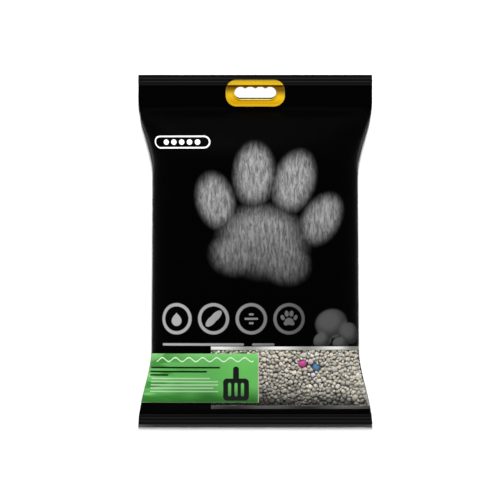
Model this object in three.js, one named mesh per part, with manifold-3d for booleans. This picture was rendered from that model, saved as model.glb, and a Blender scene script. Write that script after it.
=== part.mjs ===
// A five-litre bag of clumping litter, lying on its back as it comes to rest.
// It is a tube of laminated film, heat sealed across both ends, filled with granules, with a clear
// window, a stuck-on label and a moulded carrying handle snapped through the empty flap at the top.
// Millimetres. X runs across the bag, +Y towards the handle, +Z up out of the front of the bag.
// The origin is on the ground under the middle of the bag.
import * as THREE from 'three';
import { mergeVertices } from 'three/addons/utils/BufferGeometryUtils.js';
import Module from 'manifold-3d';

const wasm = await Module();
wasm.setup();

// Room left between two pieces that touch
const clearance = 0.3;

// The film tube, measured flat and empty
const flatWidth = 292;
const bagLength = 437;
const filmThickness = 0.3;

// The two crimped heat seals
const sealBand = 12.7;
const sealRibs = 3;
const ribDepth = 0.35;
const sealHeight = 10;

// The empty flap that carries the handle, and where the filling begins to lift the film
const flapLength = 42;
const sealRise = 15;

// The filling draws the sides in, over a shoulder under the flap and over a foot at the other end
const shoulderStart = 31.5;
const shoulderLength = 82;
const shoulderDrawIn = 19;
const footLength = 97;
const footDrawIn = 16.2;

// A cross-section is a crown over a flatter underside that is pressed level by the ground
const crownPower = 2.3;
const undersidePower = 5;
const equatorShare = 0.42;
const settling = 2;
const liftLength = 62;

// The lap where the film's two edges are welded together down the middle of the back
const lapEdge = 5;
const lapGroove = 0.5;
const lapStep = 0.15;

// The granules stop this many stations short of the two ends
const emptyStations = 2;

// The clear window, measured from the bottom edge and from the bag's centre line
const windowBottom = 19.7;
const windowTop = 98;
const windowLeft = -55.3;

// Behind the window the filling lies back, and its main granules stand out of it in rows
const bedDepth = 4.7;
const granuleRadius = 8;
const granulePitch = 19;
const granulePress = 0.6;

// The label, which runs off the left side and laps onto the window
const labelBottom = 27.6;
const labelTop = 89.2;
const labelRight = 4.6;
const labelThickness = 0.2;
const labelWrap = 9;

// The handle's two plates
const handleWidth = 73.9;
const handleHeight = 33.4;
const handleCorner = 13.6;
const handleDrop = 23;
const frontPlate = 3.2;
const gripRise = 2.2;
const gripHeight = 7.2;
const backPlate = 2.2;
const plateBevel = 0.7;
const gripRibs = 2;
const gripRibWidth = 0.6;
const gripRibDepth = 0.4;

// The finger slot, with three bumps between four fingers, inside a ring of this width at its ends
const ringAtEnds = 10.85;
const slotHeight = 15;
const slotRise = 0.3;
const fingerPitch = 12.6;
const bumpDepth = 1.9;
const bumpWidth = 2.4;
const filmSlotMargin = 0.8;

// The pins that snap the plates together through the film
const pinRadius = 1.7;
const pinEngage = 1.8;
const endPinInset = 5;
const sidePinSpread = 15;
const sidePinInset = 4.4;

// How finely the curved solids are faceted
const roundSteps = 40;
const stationCount = 27;
const pinSides = 12;

const slotWidth = handleWidth - 2 * ringAtEnds;
const topEdge = bagLength / 2;
const bottomEdge = -bagLength / 2;
const farOut = 2 * flatWidth;

const clamp01 = (t) => Math.min(1, Math.max(0, t));
const smooth = (t) => clamp01(t) ** 2 * (3 - 2 * clamp01(t));
const mix = (a, b, t) => a + (b - a) * t;

// The shape of the filled bag, station by station along Y

// How far the filling draws each side in
function drawIn(y) {
  const shoulder = smooth((topEdge - y - shoulderStart) / shoulderLength);
  const foot = smooth((y - bottomEdge) / footLength);
  const deepest = mix(footDrawIn, shoulderDrawIn, (y - bottomEdge) / bagLength);
  return shoulder * foot * deepest;
}

// A point on an outline of the given half width and height, which stands on z = 0.
// The angle runs from the top of the crown towards +X.
function outlinePoint(half, high, angle) {
  const across = Math.sin(angle);
  const up = Math.cos(angle);
  const power = 2 / (up > 0 ? crownPower : undersidePower);
  const reach = up > 0 ? (1 - equatorShare) * high : equatorShare * high;
  return {
    x: half * Math.sign(across) * Math.abs(across) ** power,
    z: equatorShare * high + Math.sign(up) * reach * Math.abs(up) ** power,
  };
}

function girth(half, high) {
  const steps = 120;
  let total = 0;
  for (let i = 0; i < steps; i += 1) {
    const a = outlinePoint(half, high, (i / steps) * 2 * Math.PI);
    const b = outlinePoint(half, high, ((i + 1) / steps) * 2 * Math.PI);
    total += Math.hypot(a.x - b.x, a.z - b.z);
  }
  return total;
}

// The film doesn't stretch, so a section's girth is always twice the flat width.
// This finds the height that uses up the girth at station y.
const knownHeights = new Map();
function filledHeight(y) {
  if (knownHeights.has(y)) return knownHeights.get(y);
  const half = flatWidth / 2 - drawIn(y);
  let low = 0;
  let high = flatWidth;
  for (let i = 0; i < 30; i += 1) {
    const middle = (low + high) / 2;
    if (girth(half, middle) < 2 * flatWidth) low = middle;
    else high = middle;
  }
  const beyondFlap = (topEdge - flapLength - y) / sealRise;
  const beyondSeal = (y - bottomEdge - sealBand) / sealRise;
  const opened = 1 - (1 - clamp01(Math.min(beyondFlap, beyondSeal))) ** 2;
  knownHeights.set(y, 2 * filmThickness + low * opened);
  return knownHeights.get(y);
}

// The underside is level with the ground under the filling, and lifts to the seals
function undersideZ(y) {
  const beyondFlap = (topEdge - flapLength - y) / liftLength;
  const beyondSeal = (y - bottomEdge - sealBand) / liftLength;
  const down = smooth(Math.min(beyondFlap, beyondSeal));
  return mix(sealHeight - filmThickness, -settling, down);
}

const equatorZ = (y) => undersideZ(y) + equatorShare * filledHeight(y);

// Solids

// A closed three.js geometry as a solid that can be joined and cut
function solid(geometry) {
  const bare = geometry.index ? geometry.toNonIndexed() : geometry.clone();
  bare.deleteAttribute('normal');
  bare.deleteAttribute('uv');
  const merged = mergeVertices(bare, 1e-4);
  return new wasm.Manifold(new wasm.Mesh({
    numProp: 3,
    vertProperties: merged.getAttribute('position').array,
    triVerts: new Uint32Array(merged.index.array),
  }));
}

// The filled bag as a closed solid through the given stations, taken in by inset all round
function filledBag(inset, stations) {
  const lengthSteps = stations.length - 1;
  const tube = new THREE.CylinderGeometry(1, 1, 1, roundSteps, lengthSteps);
  const position = tube.getAttribute('position');
  for (let i = 0; i < position.count; i += 1) {
    const y = stations[Math.round((position.getY(i) + 0.5) * lengthSteps)];
    const half = flatWidth / 2 - drawIn(y) - inset;
    const high = filledHeight(y) - 2 * inset;
    const onRim = Math.hypot(position.getX(i), position.getZ(i)) > 0.5;
    const point = onRim
      ? outlinePoint(half, high, Math.atan2(position.getX(i), position.getZ(i)))
      : { x: 0, z: high / 2 };
    position.setXYZ(i, point.x, y, Math.max(inset, undersideZ(y) + inset + point.z));
  }
  return solid(tube);
}

// A side view in Y and Z, drawn out along X
function drawnAcross(points, xLow, xHigh) {
  const outline = new THREE.Shape(points.map(([y, z]) => new THREE.Vector2(y, z)));
  const bar = new THREE.ExtrudeGeometry(outline, { depth: xHigh - xLow, bevelEnabled: false });
  const toBag = new THREE.Matrix4().makeBasis(
    new THREE.Vector3(0, 1, 0),
    new THREE.Vector3(0, 0, 1),
    new THREE.Vector3(1, 0, 0),
  );
  bar.applyMatrix4(toBag);
  bar.translate(xLow, 0, 0);
  return solid(bar);
}

// Two layers of film pressed flat, ribbed where the sealing jaws crimped them.
// It starts at the bag's edge and runs inwards.
function crimpedStrip(edge, inwards, length) {
  const crests = [];
  for (let i = 0; i <= 2 * sealRibs; i += 1) {
    crests.push([edge + (inwards * sealBand * i) / (2 * sealRibs), i % 2 ? 0 : ribDepth]);
  }
  crests.push([edge + inwards * length, 0]);
  const upper = crests.map(([y, rib]) => [y, sealHeight + rib + filmThickness]);
  const lower = crests.map(([y, rib]) => [y, sealHeight + rib - filmThickness]).reverse();
  const loop = [...upper, ...lower];
  if (inwards > 0) loop.reverse();
  return drawnAcross(loop, -flatWidth / 2, flatWidth / 2);
}

// Everything above the bag's widest line, less a margin, between two stations
function frontAbove(yLow, yHigh, xLow, xHigh, margin) {
  const steps = 12;
  const line = [];
  for (let i = 0; i <= steps; i += 1) {
    const y = mix(yLow, yHigh, i / steps);
    line.push([y, equatorZ(y) + margin]);
  }
  return drawnAcross([...line, [yHigh, farOut], [yLow, farOut]], xLow, xHigh);
}

// The lap's free edge, a shallow step that follows the underside from seal to seal
function lapCut() {
  const steps = 24;
  const from = bottomEdge + sealBand;
  const to = topEdge - flapLength;
  const line = [];
  for (let i = 0; i <= steps; i += 1) {
    const y = mix(from, to, i / steps);
    line.push([y, Math.max(0, undersideZ(y)) + lapStep]);
  }
  const strip = [[from, -farOut], [to, -farOut], ...line.reverse()];
  return drawnAcross(strip, lapEdge, lapEdge + lapGroove);
}

// The handle's outlines, drawn about its own centre

function plateOutline() {
  const x = handleWidth / 2 - handleCorner;
  const y = handleHeight / 2 - handleCorner;
  const quarter = Math.PI / 2;
  const outline = new THREE.Shape();
  outline.absarc(x, -y, handleCorner, -quarter, 0);
  outline.absarc(x, y, handleCorner, 0, quarter);
  outline.absarc(-x, y, handleCorner, quarter, 2 * quarter);
  outline.absarc(-x, -y, handleCorner, 2 * quarter, 3 * quarter);
  outline.closePath();
  return outline;
}

// The slot's upper side has a bump between each two fingers
function slotOutline(margin) {
  const end = slotHeight / 2 + margin;
  const straight = slotWidth / 2 - slotHeight / 2;
  const steps = 24;
  const outline = new THREE.Shape();
  outline.absarc(straight, slotRise, end, -Math.PI / 2, Math.PI / 2);
  for (let i = 1; i < steps; i += 1) {
    const x = mix(straight, -straight, i / steps);
    const bumps = [-1, 0, 1].map((k) => Math.exp(-(((x - k * fingerPitch) / bumpWidth) ** 2)));
    outline.lineTo(x, slotRise + end - bumpDepth * bumps.reduce((a, b) => a + b));
  }
  outline.absarc(-straight, slotRise, end, Math.PI / 2, (3 * Math.PI) / 2);
  outline.closePath();
  return outline;
}

// An outline raised to a height, with its edges rounded inside its true size
function raised(outline, height, bevel) {
  const body = new THREE.ExtrudeGeometry(outline, {
    depth: height - 2 * bevel,
    bevelEnabled: bevel > 0,
    bevelThickness: bevel,
    bevelSize: bevel,
    bevelOffset: -bevel,
    bevelSegments: 2,
    curveSegments: 7,
  });
  body.translate(0, 0, bevel);
  return solid(body);
}

// Places for the pins: one at each end of the slot and two along each of its sides
const pinPlaces = [
  [-(handleWidth / 2 - endPinInset), 0],
  [handleWidth / 2 - endPinInset, 0],
  [-sidePinSpread, handleHeight / 2 - sidePinInset],
  [sidePinSpread, handleHeight / 2 - sidePinInset],
  [-sidePinSpread, sidePinInset - handleHeight / 2],
  [sidePinSpread, sidePinInset - handleHeight / 2],
];

function pins(radius, zLow, zHigh) {
  const posts = pinPlaces.map(([x, y]) => {
    const post = new THREE.CylinderGeometry(radius, radius, zHigh - zLow, pinSides);
    post.rotateX(Math.PI / 2);
    post.translate(x, y, (zLow + zHigh) / 2);
    return solid(post);
  });
  return posts.reduce((all, post) => all.add(post));
}

// The pieces

const pieceMaterial = (color, roughness, metalness = 0) =>
  new THREE.MeshStandardMaterial({ color, roughness, metalness });

const materials = {
  blackFilm: pieceMaterial(0x0b0b0c, 0.42),
  clearFilm: pieceMaterial(0xe9ebe6, 0.12),
  granules: pieceMaterial(0xa8a395, 0.95),
  label: pieceMaterial(0x5cb358, 0.38),
  handle: pieceMaterial(0xe3a800, 0.32),
};
materials.clearFilm.transparent = true;
materials.clearFilm.opacity = 0.3;

function piece(name, body, material) {
  const { vertProperties, triVerts } = body.getMesh();
  const geometry = new THREE.BufferGeometry();
  geometry.setAttribute('position', new THREE.BufferAttribute(new Float32Array(vertProperties), 3));
  geometry.setIndex(new THREE.BufferAttribute(new Uint32Array(triVerts), 1));
  geometry.computeVertexNormals();
  const mesh = new THREE.Mesh(geometry, material);
  mesh.name = name;
  return mesh;
}

// The stations that every layer of the bag shares, so that the layers lie parallel.
// They crowd towards both ends, where the shape turns fastest.
const stripLap = 1;
const stations = Array.from({ length: stationCount }, (_, i) => {
  const along = i / (stationCount - 1);
  const crowded = mix(along, (1 - Math.cos(Math.PI * along)) / 2, 0.6);
  return mix(bottomEdge + sealBand - stripLap, topEdge - flapLength + stripLap, crowded);
});
const hollowStations = stations.slice(emptyStations, -emptyStations);

// The hollow film bag, before the window and the handle's holes are cut
function sealedTube() {
  return filledBag(0, stations)
    .add(crimpedStrip(bottomEdge, 1, sealBand + stripLap))
    .add(crimpedStrip(topEdge, -1, flapLength + stripLap))
    .subtract(filledBag(filmThickness, hollowStations))
    .subtract(lapCut());
}

// The plates clamp the flap between its crimped crests and its flat underside
const handleY = topEdge - handleDrop;
const frontSeat = sealHeight + ribDepth + filmThickness + clearance;
const backSeat = sealHeight - filmThickness - clearance;

const windowSpan = [bottomEdge + windowBottom, bottomEdge + windowTop];
const tube = sealedTube();

function filmBag() {
  const handleHoles = raised(slotOutline(filmSlotMargin), 2 * sealHeight, 0)
    .add(pins(pinRadius + clearance, 0, 2 * sealHeight))
    .translate([0, handleY, 0]);
  return tube
    .subtract(frontAbove(...windowSpan, windowLeft, farOut, 0))
    .subtract(handleHoles);
}

function windowFilm() {
  const [low, high] = windowSpan;
  return tube.intersect(frontAbove(
    low + clearance,
    high - clearance,
    windowLeft + clearance,
    farOut,
    clearance,
  ));
}

// A low-sided granule pressed against the inside of the film, at an angle round the crown at y
function granule(y, angle, turn) {
  const inset = filmThickness + clearance + granuleRadius - granulePress;
  const half = flatWidth / 2 - drawIn(y) - inset;
  const place = outlinePoint(half, filledHeight(y) - 2 * inset, angle);
  const stone = new THREE.IcosahedronGeometry(granuleRadius, 0);
  stone.rotateX(turn);
  stone.rotateY(2 * turn);
  stone.translate(place.x, y, undersideZ(y) + inset + place.z);
  return solid(stone);
}

// The main granules behind the window, a pitch apart round the crown in rows that are set off
// by half a pitch from one to the next
function mainGranules(low, high) {
  const stones = [];
  const rows = Math.floor((high - low - 2 * granuleRadius) / granulePitch) + 1;
  const steps = 400;
  for (let row = 0; row < rows; row += 1) {
    const y = mix(low + granuleRadius, high - granuleRadius, rows > 1 ? row / (rows - 1) : 0.5);
    const inset = filmThickness + clearance + granuleRadius;
    const half = flatWidth / 2 - drawIn(y) - inset;
    const around = (i) => outlinePoint(
      half,
      filledHeight(y) - 2 * inset,
      mix(-Math.PI / 2, Math.PI / 2, i / steps),
    );
    let walked = (row % 2) * (granulePitch / 2);
    for (let i = 1; i <= steps; i += 1) {
      const [from, to] = [around(i - 1), around(i)];
      if (to.x < windowLeft + granuleRadius) continue;
      walked += Math.hypot(to.x - from.x, to.z - from.z);
      if (walked < granulePitch) continue;
      walked -= granulePitch;
      stones.push(granule(y, mix(-Math.PI / 2, Math.PI / 2, i / steps), stones.length));
    }
  }
  return stones.reduce((all, stone) => all.add(stone));
}

function litterFill() {
  const inner = hollowStations.slice(1, -1);
  const [low, high] = [hollowStations.at(0) + clearance, hollowStations.at(-1) - clearance];
  const fillStations = [low, ...inner, high];
  const fill = filledBag(filmThickness + clearance, fillStations);
  const bed = filledBag(filmThickness + clearance + bedDepth, fillStations);
  const shell = frontAbove(low - clearance, windowSpan[1], windowLeft, farOut, 0).subtract(bed);
  return fill.subtract(shell).add(mainGranules(low, windowSpan[1]).intersect(fill));
}

function label() {
  const low = bottomEdge + labelBottom;
  const high = bottomEdge + labelTop;
  return filledBag(-clearance - labelThickness, hollowStations)
    .subtract(filledBag(-clearance, stations))
    .intersect(frontAbove(low, high, -farOut, labelRight, -labelWrap));
}

// The front plate: a flat ring with a raised, ribbed grip bar above the slot
function handleFront() {
  const bar = drawnAcross(
    [
      [handleHeight / 2 - gripHeight, frontPlate / 2],
      [handleHeight, frontPlate / 2],
      [handleHeight, farOut],
      [handleHeight / 2 - gripHeight, farOut],
    ],
    -handleWidth,
    handleWidth,
  );
  let ribs = null;
  for (let i = 1; i <= gripRibs; i += 1) {
    const y = handleHeight / 2 - (gripHeight * i) / (gripRibs + 1);
    const top = frontPlate + gripRise;
    const groove = drawnAcross(
      [
        [y - gripRibWidth / 2, top - gripRibDepth],
        [y + gripRibWidth / 2, top - gripRibDepth],
        [y + gripRibWidth / 2, farOut],
        [y - gripRibWidth / 2, farOut],
      ],
      handleCorner - handleWidth / 2,
      handleWidth / 2 - handleCorner,
    );
    ribs = ribs ? ribs.add(groove) : groove;
  }
  const sockets = pins(pinRadius + clearance, -1, pinEngage + clearance);
  return raised(plateOutline(), frontPlate, plateBevel)
    .add(raised(plateOutline(), frontPlate + gripRise, plateBevel).intersect(bar))
    .subtract(ribs)
    .subtract(raised(slotOutline(0), 2 * (frontPlate + gripRise), 0).translate([0, 0, -1]))
    .subtract(sockets)
    .translate([0, handleY, frontSeat]);
}

// The back plate, with the pins that reach through the film into the front plate's sockets
function handleBack() {
  const backFace = backSeat - backPlate;
  return raised(plateOutline(), backPlate, plateBevel)
    .subtract(raised(slotOutline(0), 2 * backPlate, 0).translate([0, 0, -1]))
    .translate([0, 0, backFace])
    .add(pins(pinRadius, backSeat - backPlate / 2, frontSeat + pinEngage))
    .translate([0, handleY, 0]);
}

const bag = new THREE.Group();
bag.add(
  piece('bag_film', filmBag(), materials.blackFilm),
  piece('window_film', windowFilm(), materials.clearFilm),
  piece('litter', litterFill(), materials.granules),
  piece('label', label(), materials.label),
  piece('handle_front', handleFront(), materials.handle),
  piece('handle_back', handleBack(), materials.handle),
);

export default bag;
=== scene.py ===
import itertools
import math

import bmesh
import bpy
import numpy as np
from mathutils import Matrix, Vector, noise
from mathutils.bvhtree import BVHTree


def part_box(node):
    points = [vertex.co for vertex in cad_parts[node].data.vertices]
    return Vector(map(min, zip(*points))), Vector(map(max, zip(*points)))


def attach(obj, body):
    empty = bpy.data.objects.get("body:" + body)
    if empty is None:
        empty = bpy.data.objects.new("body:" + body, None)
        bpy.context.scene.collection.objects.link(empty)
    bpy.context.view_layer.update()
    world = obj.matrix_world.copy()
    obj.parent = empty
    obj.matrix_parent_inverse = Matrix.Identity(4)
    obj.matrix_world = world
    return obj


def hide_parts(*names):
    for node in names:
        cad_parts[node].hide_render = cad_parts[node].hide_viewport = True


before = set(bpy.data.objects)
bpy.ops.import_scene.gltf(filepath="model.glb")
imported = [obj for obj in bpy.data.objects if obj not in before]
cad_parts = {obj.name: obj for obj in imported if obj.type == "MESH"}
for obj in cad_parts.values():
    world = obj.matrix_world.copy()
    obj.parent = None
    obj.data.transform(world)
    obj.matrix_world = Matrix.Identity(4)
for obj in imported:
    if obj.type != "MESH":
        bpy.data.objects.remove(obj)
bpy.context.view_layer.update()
MM = 0.001


# Camera, floor and lamps
# The camera looks straight down from far off, so the bag shows with hardly any perspective.
# A large soft lamp stands beyond the top of the bag, and the floor is plain white.
photo_pixels = 500
mm_per_pixel = 1.248
bag_centre_pixel = (255.3, 249.65)
camera_height = 12.0
widest_line_height = 0.026

scene = bpy.context.scene
scene.view_settings.view_transform = "Standard"
camera = bpy.data.objects.new("camera", bpy.data.cameras.new("camera"))
scene.collection.objects.link(camera)
scene.camera = camera
camera.location = (
    (photo_pixels / 2 - bag_centre_pixel[0]) * mm_per_pixel * MM,
    (bag_centre_pixel[1] - photo_pixels / 2) * mm_per_pixel * MM,
    camera_height,
)
shown_width = photo_pixels * mm_per_pixel * MM
camera.data.lens = camera.data.sensor_width * (camera_height - widest_line_height) / shown_width


def add_node(tree, kind, inputs=None, **settings):
    """A shader node with its settings, and its sockets set or linked."""
    made = tree.nodes.new(kind)
    for name, value in settings.items():
        setattr(made, name, value)
    for socket, value in (inputs or {}).items():
        if isinstance(value, bpy.types.NodeSocket):
            tree.links.new(value, made.inputs[socket])
        else:
            made.inputs[socket].default_value = value
    return made


def calculate(tree, operation, *values, clamp=False):
    """The output of a Math node fed with numbers or sockets."""
    return add_node(
        tree, "ShaderNodeMath", dict(enumerate(values)), operation=operation, use_clamp=clamp
    ).outputs[0]


def vector_math(tree, operation, *values):
    """The output of a Vector Math node: a number for a length, and a vector otherwise."""
    made = add_node(tree, "ShaderNodeVectorMath", dict(enumerate(values)), operation=operation)
    return made.outputs["Value" if operation == "LENGTH" else "Vector"]


def ramp(tree, value, start, end, low=0.0, high=1.0):
    """low at start, high at end, and a smooth passage between."""
    return add_node(
        tree,
        "ShaderNodeMapRange",
        {"Value": value, "From Min": start, "From Max": end, "To Min": low, "To Max": high},
        interpolation_type="SMOOTHSTEP",
    ).outputs["Result"]


def seen_directly(tree):
    """1 for camera, glossy and transmission rays, and 0 for the rays that light things."""
    path = tree.nodes.new("ShaderNodeLightPath")
    mirrored = calculate(
        tree, "MAXIMUM", path.outputs["Is Glossy Ray"], path.outputs["Is Transmission Ray"]
    )
    return calculate(tree, "MAXIMUM", path.outputs["Is Camera Ray"], mirrored)


def lamp(name, place, target, size, watts, reflected=False):
    made = bpy.data.objects.new(name, bpy.data.lights.new(name, "AREA"))
    made.data.shape = "RECTANGLE"
    made.data.size, made.data.size_y = size
    made.data.energy = watts
    made.location = place
    made.rotation_euler = (Vector(target) - Vector(place)).to_track_quat("-Z", "Y").to_euler()
    made.visible_glossy = reflected
    scene.collection.objects.link(made)


bag_middle = (0, 0, 0.03)
lamp("key_lamp", (0.03, 1.95, 3.7), bag_middle, (0.3, 2.0), 260)
lamp("fill_lamp", (0.6, -1.0, 1.3), bag_middle, (0.9, 0.9), 0.5)
lamp("rim_lamp", (-0.25, 1.7, 0.66), (0, 0.2, 0.01), (0.9, 0.16), 6, reflected=True)

world = bpy.data.worlds.new("studio")
scene.world = world
world.use_nodes = True
world.node_tree.nodes.clear()
sky = world.node_tree
room_light = 0.052
ceiling_share = 0.88
direction = sky.nodes.new("ShaderNodeTexCoord").outputs["Generated"]
up = add_node(sky, "ShaderNodeSeparateXYZ", {"Vector": direction}).outputs["Z"]
white_room = ramp(sky, up, 0.25, 0.9, 1.0, 1.0 - ceiling_share)
strength = add_node(
    sky,
    "ShaderNodeMix",
    {"Factor": seen_directly(sky), "A": room_light, "B": white_room},
    data_type="FLOAT",
)
backdrop = add_node(
    sky, "ShaderNodeBackground", {"Color": (1, 1, 1, 1), "Strength": strength.outputs["Result"]}
)
add_node(sky, "ShaderNodeOutputWorld", {"Surface": backdrop.outputs["Background"]})


def new_material(name):
    """An empty material, its node tree and its output node."""
    made = bpy.data.materials.new(name)
    made.use_nodes = True
    made.node_tree.nodes.clear()
    return made, made.node_tree, made.node_tree.nodes.new("ShaderNodeOutputMaterial")


def new_object(name, mesh, material, smooth=True):
    """A shown object at the origin that holds a mesh or a bmesh."""
    if isinstance(mesh, bmesh.types.BMesh):
        data = bpy.data.meshes.new(name)
        mesh.to_mesh(data)
        mesh.free()
        mesh = data
    mesh.polygons.foreach_set("use_smooth", [smooth] * len(mesh.polygons))
    mesh.materials.clear()
    mesh.materials.append(material)
    made = bpy.data.objects.new(name, mesh)
    scene.collection.objects.link(made)
    return made


def white_paint(tree):
    sockets = {"Color": (0.92, 0.92, 0.92, 1), "Roughness": 0.5}
    return add_node(tree, "ShaderNodeBsdfDiffuse", sockets).outputs["BSDF"]


floor_material, tree, output = new_material("white_floor")
tree.links.new(white_paint(tree), output.inputs["Surface"])
floor_mesh = bmesh.new()
bmesh.ops.create_grid(floor_mesh, x_segments=1, y_segments=1, size=12)
floor = new_object("floor", floor_mesh, floor_material)

# The flap keeps the lamps off the floor below the finger slot, so a white card lies right under the
# slot. The handle's back plate hides the rest of it.
card_material, tree, output = new_material("white_card")
card_white = add_node(tree, "ShaderNodeEmission", {"Color": (1, 1, 1, 1), "Strength": 1.0})
card_shown = add_node(
    tree,
    "ShaderNodeMixShader",
    {0: seen_directly(tree), 1: white_paint(tree), 2: card_white.outputs[0]},
)
tree.links.new(card_shown.outputs[0], output.inputs["Surface"])
card_margin = 6 * MM
card_gap = 0.4 * MM
back_low, back_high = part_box("handle_back")
card_reach = (back_high - back_low) / 2 - Vector((card_margin, card_margin, 0))
card_middle = Vector((0, (back_low.y + back_high.y) / 2, back_low.z - card_gap))
card_mesh = bmesh.new()
bmesh.ops.create_grid(card_mesh, x_segments=1, y_segments=1, size=1)
bmesh.ops.scale(card_mesh, vec=card_reach, verts=card_mesh.verts[:])
bmesh.ops.translate(card_mesh, vec=card_middle, verts=card_mesh.verts[:])
card = new_object("card", card_mesh, card_material)


# The tube of film, before anything is cut from it
# One web of laminated film wrapped into a tube, lap welded down the back and heat sealed across both
# ends. The filling rounds it, and where film is left over at the sides and the seals it puckers.
film_low, film_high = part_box("bag_film")
flat_width = film_high.x - film_low.x
bag_length = film_high.y - film_low.y
top_edge = film_high.y
bottom_edge = film_low.y
film_thickness = 0.3 * MM
seal_band = 12.7 * MM
seal_height = 10 * MM
seal_ribs = 3
rib_depth = 0.5 * MM
flap_length = 42 * MM
seal_rise = 15 * MM
lift_length = 62 * MM
settling = 2 * MM
shoulder_start, shoulder_length, shoulder_draw_in = 31.5 * MM, 82 * MM, 19 * MM
foot_length, foot_draw_in = 97 * MM, 16.2 * MM
crown_power, underside_power, equator_share = 2.3, 5, 0.42
ring_steps = 112
body_steps = 70
flap_steps = 6
rows_per_rib = 4


def smooth_step(t):
    t = np.clip(t, 0, 1)
    return t * t * (3 - 2 * t)


def mix(a, b, t):
    return a + (b - a) * t


def half_width(y):
    """Half the bag's width at y, less what the filling draws the side in."""
    shoulder = smooth_step((top_edge - y - shoulder_start) / shoulder_length)
    foot = smooth_step((y - bottom_edge) / foot_length)
    deepest = mix(foot_draw_in, shoulder_draw_in, (y - bottom_edge) / bag_length)
    return flat_width / 2 - shoulder * foot * deepest


def cross_section(half, high, points=721):
    """A filled section from the back seam round over the crown, and its length so far."""
    turn = np.linspace(-np.pi, np.pi, points)
    across, up = np.sin(turn), np.cos(turn)
    power = np.where(up > 0, 2 / crown_power, 2 / underside_power)
    reach = np.where(up > 0, (1 - equator_share) * high, equator_share * high)
    x = half * np.sign(across) * np.abs(across) ** power
    z = equator_share * high + np.sign(up) * reach * np.abs(up) ** power
    along = np.concatenate([[0], np.cumsum(np.hypot(np.diff(x), np.diff(z)))])
    return x, z, along


def filled_height(y):
    """The height that uses up the film's girth at y, let down to nothing at the seals."""
    low, high = 0.0, flat_width
    for _ in range(26):
        middle = (low + high) / 2
        if cross_section(half_width(y), middle, 241)[2][-1] < 2 * flat_width:
            low = middle
        else:
            high = middle
    beyond = min(top_edge - flap_length - y, y - bottom_edge - seal_band) / seal_rise
    return 2 * film_thickness + low * (1 - (1 - np.clip(beyond, 0, 1)) ** 2)


def underside(y):
    beyond = min(top_edge - flap_length - y, y - bottom_edge - seal_band) / lift_length
    return mix(seal_height - film_thickness, -settling, smooth_step(beyond))


def crimp(y):
    """The height of the jaws' ribs, which run across both seals."""
    inwards = min(top_edge - y, y - bottom_edge) / seal_band
    if inwards > 1:
        return 0.0
    return rib_depth * (0.5 - 0.5 * math.cos(2 * math.pi * seal_ribs * inwards))


def rows_between(low, high, steps):
    return list(np.linspace(low, high, steps, endpoint=False))


seal_rows = rows_per_rib * seal_ribs
body_start = bottom_edge + seal_band
body_end = top_edge - flap_length
stations = (
    rows_between(bottom_edge, body_start, seal_rows)
    + rows_between(body_start, body_end, body_steps)
    + rows_between(body_end, top_edge - seal_band, flap_steps)
    + rows_between(top_edge - seal_band, top_edge, seal_rows)
    + [top_edge]
)
heights = [filled_height(y) for y in stations]
crown_line = [underside(y) + high for y, high in zip(stations, heights)]
crown_path = np.concatenate([[0], np.cumsum(np.hypot(np.diff(stations), np.diff(crown_line)))])

tube_radius = flat_width / math.pi


def roll_tube(rows, steps):
    """The web rolled into a plain cylinder, which is the film's own unstretched shape."""
    made = bmesh.new()
    chain = [made.verts.new((0, y, -tube_radius)) for y in rows]
    links = [made.edges.new(pair) for pair in zip(chain, chain[1:])]
    bmesh.ops.spin(
        made,
        geom=chain + links,
        cent=(0, 0, 0),
        axis=(0, 1, 0),
        angle=math.tau,
        steps=steps,
        use_merge=True,
    )
    return made


tube = roll_tube(stations, ring_steps)
bmesh.ops.recalc_face_normals(tube, faces=tube.faces[:])

# Where each point lies on the flat web: across from the middle of the front, and along
flat_map = tube.loops.layers.uv.new("flat_film")
for face in tube.faces:
    side = 1 if face.calc_center_median().x > 0 else -1
    for loop in face.loops:
        x, y, z = loop.vert.co
        turn = math.atan2(x, z)
        if abs(turn) > math.pi - 1e-4:
            turn = side * math.pi
        loop[flat_map].uv = (turn * tube_radius, y)

# The two folded edges are sharp at the seals and the flap, and round out over the filling
fold_fade = 55 * MM
crease = tube.edges.layers.float.new("crease_edge")
for edge in tube.edges:
    start, end = (point.co for point in edge.verts)
    on_fold = abs(start.z) < MM and abs(end.z) < MM and abs(start.x - end.x) < MM
    if on_fold:
        inwards = min(body_end - start.y, start.y - body_start) / fold_fade
        edge[crease] = min(1.0, max(0.0, 1 - inwards))
film_mesh = bpy.data.meshes.new("film_tube")
tube.to_mesh(film_mesh)
tube.free()


def read_points(mesh):
    points = np.empty(len(mesh.vertices) * 3)
    mesh.vertices.foreach_get("co", points)
    return points.reshape(-1, 3)


def filled_points(rolled, inset=0.0):
    """Points of the rolled web moved to the filled bag's surface, or inset below it."""
    filled = np.empty_like(rolled)
    share = 0.5 + np.arctan2(rolled[:, 0], rolled[:, 2]) / (2 * np.pi)
    for y in np.unique(rolled[:, 1]):
        row = rolled[:, 1] == y
        high = filled_height(y) - 2 * inset
        x, z, along = cross_section(half_width(y) - inset, max(high, 0.2 * MM))
        at = share[row] * along[-1]
        filled[row, 0] = np.interp(at, along, x)
        filled[row, 1] = y
        lifted = underside(y) + inset + crimp(y) + np.interp(at, along, z)
        filled[row, 2] = np.maximum(lifted, inset)
    return filled


rolled = read_points(film_mesh)
filled = filled_points(rolled)


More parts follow.
